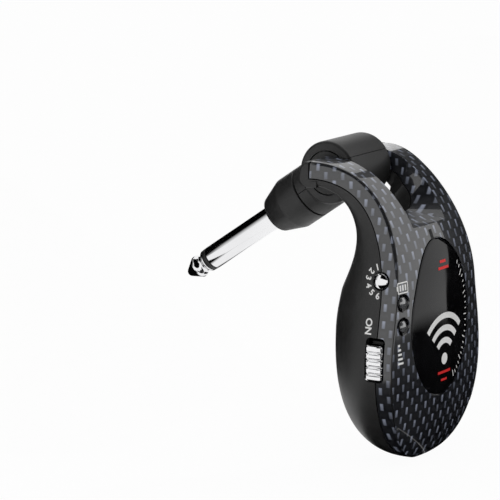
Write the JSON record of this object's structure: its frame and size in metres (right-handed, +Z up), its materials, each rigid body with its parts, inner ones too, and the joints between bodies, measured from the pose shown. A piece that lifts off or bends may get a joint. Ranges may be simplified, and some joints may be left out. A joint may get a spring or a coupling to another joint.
{
  "type": "wireless guitar transmitter",
  "caption": "Teardrop plug-in wireless instrument transmitter: a jack plug on a swivelling hub, held in the fork of a two-shell carbon-look casing with a button, switch and lights.",
  "frame": {"origin": "middle of the collar's shoulder, where the plug goes into an instrument's jack", "axes": "+Z up along the hanging casing, -Y out of the casing's front face, +X across, away from the control flank; the hinge axis is along X"},
  "size_m": [0.0472, 0.0771, 0.0799],
  "materials": {
    "carbon_weave": "black and grey woven print under a clear coat",
    "matte_black_plastic": "soft matte black",
    "gloss_black_plate": "gloss black",
    "chrome": "bright plating",
    "steel": "plain",
    "black_nylon": "plain black",
    "clear_lens": "clear moulded lens",
    "light_emitter": "yellow resin",
    "board_green": "solder mask",
    "cell_foil": "foil",
    "ceramic": "fired ceramic",
    "lead_insulation": "flexible sleeve"
  },
  "bodies": {
    "plug_arm": {"hub_upper_half": "matte_black_plastic", "hub_lower_half": "matte_black_plastic", "plug_collar": "matte_black_plastic", "plug_sleeve": "chrome", "plug_insulator": "black_nylon", "plug_tip": "chrome", "friction_washer_left": "black_nylon", "friction_washer_right": "black_nylon", "hub_lead_signal": "lead_insulation", "hub_lead_ground": "lead_insulation"},
    "casing": {"front_shell": "carbon_weave", "rear_shell": "matte_black_plastic", "oval_plate": "gloss_black_plate", "battery_lens": "clear_lens", "audio_lens": "clear_lens", "battery_light": "light_emitter", "audio_light": "light_emitter", "main_board": "board_green", "board_screw_top_left": "steel", "board_screw_top_right": "steel", "board_screw_bottom_left": "steel", "board_screw_bottom_right": "steel", "lithium_cell": "cell_foil", "radio_module": "steel", "chip_antenna": "ceramic", "tact_switch": "black_nylon", "slide_switch": "black_nylon", "usb_socket": "steel", "hinge_pin_left": "steel", "hinge_pin_right": "steel", "casing_lead_left": "lead_insulation", "casing_lead_right": "lead_insulation"},
    "button": {"channel_button": "chrome"},
    "switch": {"power_switch_knob": "chrome"}
  },
  "joints": [
    {"name": "plug_hinge", "type": "hinge", "parent": "plug_arm", "child": "casing", "pos_m": [0, -0.02073, 0.01398], "axis": [1, 0, 0], "range_deg": [-168, 50]},
    {"name": "channel_press", "type": "slide", "parent": "casing", "child": "button", "axis": [1, 0, 0], "range_m": [0, 0.0004], "stiffness_N_per_m": 2000},
    {"name": "power_slide", "type": "slide", "parent": "casing", "child": "switch", "axis": [0, 0, 1], "range_m": [0, 0.0013]}
  ]
}
